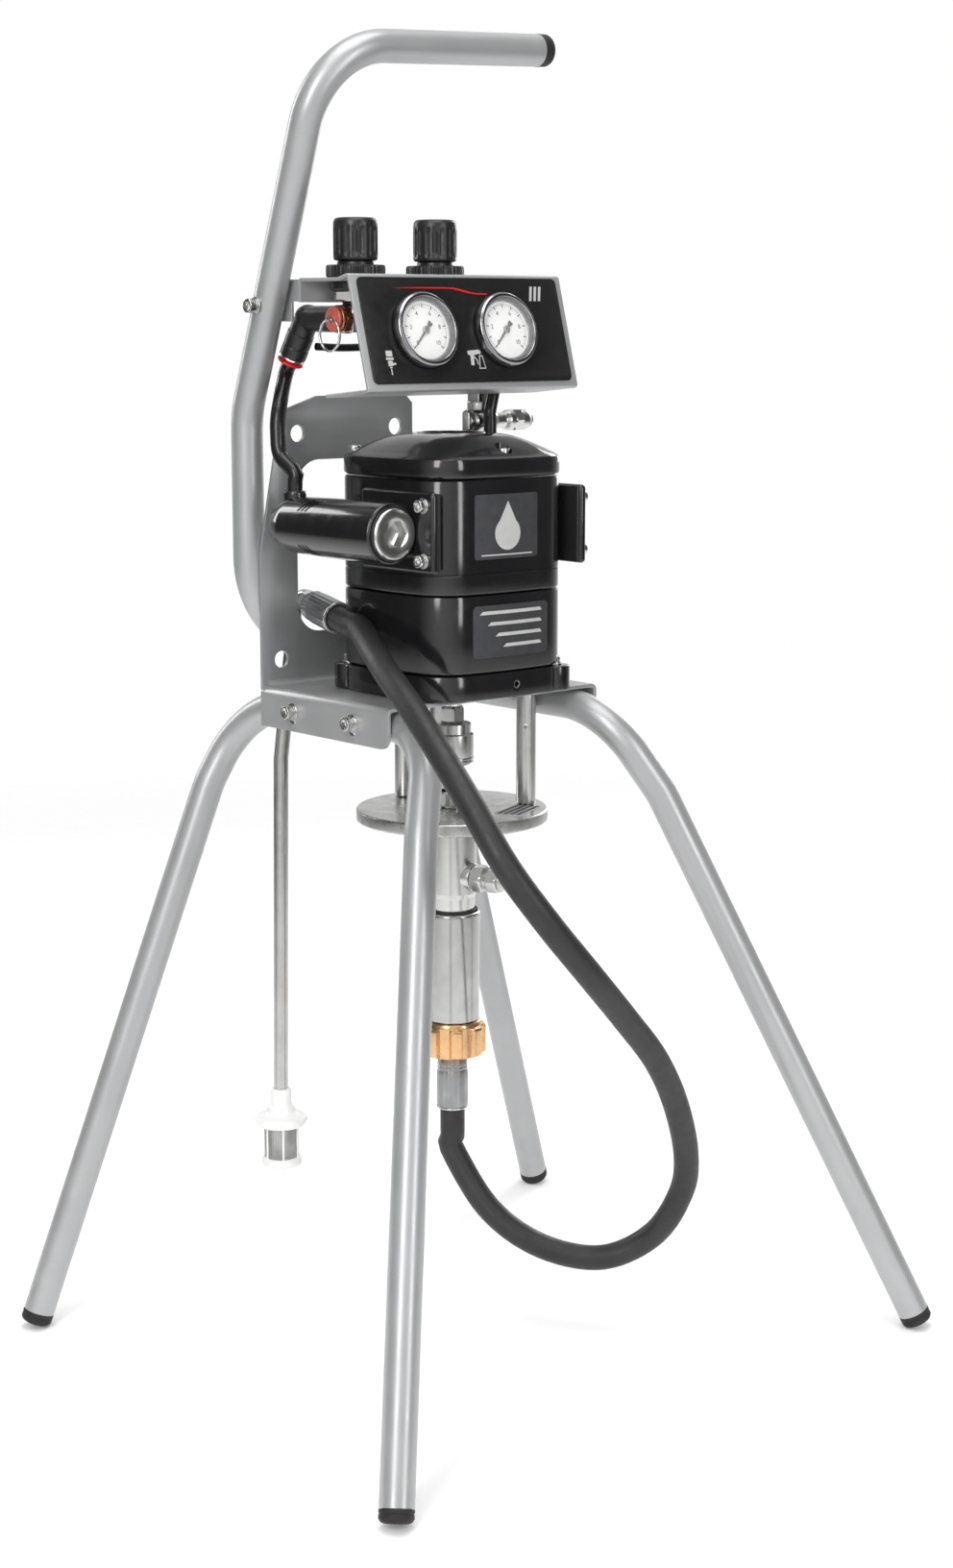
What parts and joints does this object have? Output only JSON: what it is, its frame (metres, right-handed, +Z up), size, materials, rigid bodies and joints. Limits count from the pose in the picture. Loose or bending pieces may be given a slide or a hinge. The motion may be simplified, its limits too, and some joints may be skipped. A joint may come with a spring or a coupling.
{
  "type": "airless paint sprayer",
  "caption": "Air-driven airless paint sprayer on a tubular four-legged stand, with control panel, fluid pump, suction hose and strainer.",
  "frame": {"origin": "on the floor at the centre of the four feet", "axes": "+Z up, -Y towards the gauges, +X towards the free end of the carrying grip"},
  "size_m": [0.5696, 0.4934, 1.0308],
  "materials": {
    "frame_grey": "satin light grey powder coat",
    "rubber": "matt black rubber",
    "black_gloss": "gloss black paint over cast aluminium",
    "steel": "turned steel, fine lathe marks",
    "chrome": "polished bright plate",
    "zinc": "zinc plate, slightly dull",
    "brass": "machined brass",
    "copper": "copper-coloured brass",
    "black_plastic": "black moulded plastic",
    "red_plastic": "red moulded plastic",
    "white_plastic": "off-white plastic with a fine mesh",
    "dial_white": "printed white dial"
  },
  "bodies": {
    "stand": {"base_bracket": "frame_grey", "leg_arch_left": "frame_grey", "leg_arch_right": "frame_grey", "carry_handle": "frame_grey", "panel_bracket": "frame_grey", "foot_cap_front_left": "rubber", "foot_cap_back_left": "rubber", "foot_cap_front_right": "rubber", "foot_cap_back_right": "rubber", "grip_end_cap": "rubber", "suction_hose": "rubber", "motor_base": "black_gloss", "motor_lower_housing": "black_gloss", "motor_upper_housing": "black_gloss", "motor_top_cover": "black_gloss", "valve_block_left": "black_gloss", "valve_block_right": "black_gloss", "tie_rod_back": "steel", "tie_rod_left": "steel", "tie_rod_right": "steel", "pump_flange": "steel", "pump_body": "steel", "pump_cylinder": "steel", "gauge_case_left": "chrome", "gauge_case_right": "chrome", "exhaust_plug": "chrome", "suction_tube": "chrome", "regulator_body_left": "zinc", "regulator_body_right": "zinc", "air_manifold": "zinc", "inlet_riser": "zinc", "inlet_valve_body": "zinc", "packing_nut": "zinc", "outlet_fitting": "zinc", "hose_ferrule_pump": "zinc", "hose_ferrule_tube": "zinc", "suction_union_nut": "brass", "safety_valve_body": "copper", "panel_facia": "black_plastic", "regulator_ring_left": "black_plastic", "regulator_ring_right": "black_plastic", "push_in_elbow": "black_plastic", "air_tube_left": "black_plastic", "air_tube_right": "black_plastic", "suction_strainer": "white_plastic", "gauge_dial_left": "dial_white", "gauge_dial_right": "dial_white"},
    "pump_rod": {"air_piston": "zinc", "piston_rod": "chrome", "rod_lock_nut": "steel", "rod_coupling": "steel", "pump_plunger": "chrome"},
    "knob_left": {"regulator_knob_left": "black_plastic"},
    "knob_right": {"regulator_knob_right": "black_plastic"},
    "pointer_left": {"gauge_pointer_left": "black_plastic"},
    "pointer_right": {"gauge_pointer_right": "black_plastic"},
    "relief_stem": {"safety_valve_stem": "red_plastic"},
    "relief_ring": {"safety_valve_ring": "chrome"},
    "release_collar": {"elbow_release_collar": "red_plastic"},
    "inlet_wing": {"inlet_valve_wing": "zinc"}
  },
  "joints": [
    {"name": "pump_stroke", "type": "slide", "parent": "stand", "child": "pump_rod", "axis": [0, 0, 1], "range_m": [-0.02, 0.0125]},
    {"name": "regulator_left_turn", "type": "hinge", "parent": "stand", "child": "knob_left", "pos_m": [-0.0755, 0.052, 0.86], "axis": [0, 0, -1], "range_deg": [0, 1080]},
    {"name": "regulator_right_turn", "type": "hinge", "parent": "stand", "child": "knob_right", "pos_m": [0.0023, 0.052, 0.86], "axis": [0, 0, -1], "range_deg": [0, 1080]},
    {"name": "gauge_left_needle", "type": "hinge", "parent": "stand", "child": "pointer_left", "pos_m": [-0.05, 0.00444, 0.80072], "axis": [0, 0.9639, -0.2664], "range_deg": [0, 270]},
    {"name": "gauge_right_needle", "type": "hinge", "parent": "stand", "child": "pointer_right", "pos_m": [0.03, 0.00444, 0.80072], "axis": [0, 0.9639, -0.2664], "range_deg": [0, 270]},
    {"name": "relief_stem_pull", "type": "slide", "parent": "stand", "child": "relief_stem", "axis": [-1, 0, 0], "range_m": [0, 0.002], "stiffness_N_per_m": 900, "springref_m": -0.001},
    {"name": "relief_ring_swing", "type": "hinge", "parent": "relief_stem", "child": "relief_ring", "pos_m": [-0.1006, 0.052, 0.81], "axis": [0, 1, 0], "range_deg": [-3, 85]},
    {"name": "elbow_collar_press", "type": "slide", "parent": "stand", "child": "release_collar", "axis": [0.0903, -0.4614, 0.8826], "range_m": [0, 0.0015], "stiffness_N_per_m": 900, "springref_m": -0.001},
    {"name": "inlet_wing_turn", "type": "hinge", "parent": "stand", "child": "inlet_wing", "pos_m": [0.052, 0.0675, 0.7295], "axis": [-1, 0, 0], "range_deg": [0, 90]}
  ],
  "couplings": [
    {"joint": "gauge_left_needle", "follows": "regulator_left_turn", "ratio": 0.25},
    {"joint": "gauge_right_needle", "follows": "regulator_right_turn", "ratio": 0.25}
  ]
}
